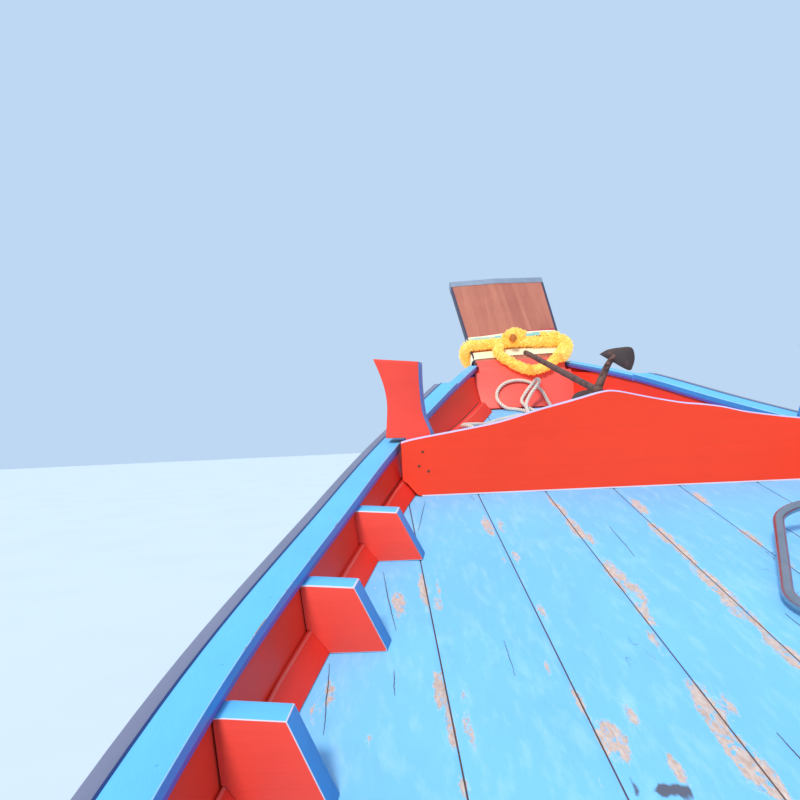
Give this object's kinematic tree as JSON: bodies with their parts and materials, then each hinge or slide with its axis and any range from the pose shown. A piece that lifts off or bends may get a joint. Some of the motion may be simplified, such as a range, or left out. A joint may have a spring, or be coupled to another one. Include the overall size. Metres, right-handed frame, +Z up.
{
  "type": "longtail boat",
  "caption": "Open wooden longtail boat with a raked prow, a foredeck, thwarts, a canopy and an engine on a swivel that turns a long propeller shaft.",
  "frame": {"origin": "amidships on the centreline, at the height of the waterline", "axes": "+Y along the boat to the bow, +X to starboard, +Z up"},
  "size_m": [2.4479, 13.6968, 2.7354],
  "materials": {
    "hull_paint": "satin",
    "red_paint": "satin",
    "blue_paint": "satin",
    "grey_paint": "satin",
    "bare_wood": "matte",
    "sheet_metal": "satin",
    "canvas": "matte",
    "tube_steel": "satin",
    "rusty_iron": "matte",
    "garland_flowers": "matte",
    "ribbon_cloth": "satin",
    "rope_fibre": "matte",
    "dark_iron": "matte",
    "engine_paint": "satin",
    "cast_metal": "matte",
    "propeller_bronze": "satin",
    "tank_plastic": "matte"
  },
  "bodies": {
    "hull": {"hull_shell": "hull_paint", "keel": "hull_paint", "transom": "red_paint", "foredeck": "blue_paint", "foredeck_bulkhead": "red_paint", "waterway_port": "red_paint", "waterway_starboard": "red_paint", "knee_port_1": "red_paint", "knee_port_2": "red_paint", "knee_port_3": "red_paint", "knee_port_4": "red_paint", "knee_port_5": "red_paint", "knee_starboard_1": "red_paint", "knee_starboard_2": "red_paint", "knee_starboard_3": "red_paint", "knee_starboard_4": "red_paint", "knee_starboard_5": "red_paint", "cap_rail_port": "blue_paint", "cap_rail_starboard": "blue_paint", "rub_strip_port": "grey_paint", "rub_strip_starboard": "grey_paint", "breakwater_beam": "red_paint", "horn_port": "red_paint", "horn_starboard": "red_paint", "bow_apron": "red_paint", "prow_board": "bare_wood", "prow_cap": "sheet_metal", "ribs_port": "red_paint", "ribs_starboard": "red_paint", "floorboards": "blue_paint", "thwart_1": "blue_paint", "thwart_2": "blue_paint", "thwart_3": "blue_paint", "thwart_4": "blue_paint", "aft_deck": "blue_paint", "canopy": "canvas", "canopy_hoop_1": "tube_steel", "canopy_hoop_2": "tube_steel", "canopy_hoop_3": "tube_steel", "canopy_hoop_4": "tube_steel", "boarding_ladder": "tube_steel", "anchor": "rusty_iron", "prow_garland": "garland_flowers", "prow_ribbons": "ribbon_cloth", "mooring_rope": "rope_fibre", "rope_coil": "rope_fibre", "rope_knot": "rope_fibre", "engine_mount": "dark_iron", "fuel_tank": "tank_plastic"},
    "swivel": {"engine_swivel": "dark_iron"},
    "engine": {"engine_cradle": "dark_iron", "engine_block": "engine_paint", "valve_cover": "engine_paint", "air_cleaner": "dark_iron", "radiator": "dark_iron", "gearbox": "cast_metal", "exhaust_pipe": "rusty_iron", "tiller_handle": "tube_steel", "shaft_tube": "tube_steel"},
    "propeller": {"propeller": "propeller_bronze"}
  },
  "joints": [
    {"name": "engine_steer", "type": "hinge", "parent": "hull", "child": "swivel", "pos_m": [0, -5.08, 0.886], "axis": [0, 0, 1], "range_deg": [-45, 45]},
    {"name": "engine_tilt", "type": "hinge", "parent": "swivel", "child": "engine", "pos_m": [0, -5.08, 1], "axis": [1, 0, 0], "range_deg": [-30, 6]},
    {"name": "propeller_spin", "type": "hinge", "parent": "engine", "child": "propeller", "pos_m": [0, -8.09434, -0.2732], "axis": [0, 0.9063, 0.4226], "continuous": true}
  ]
}
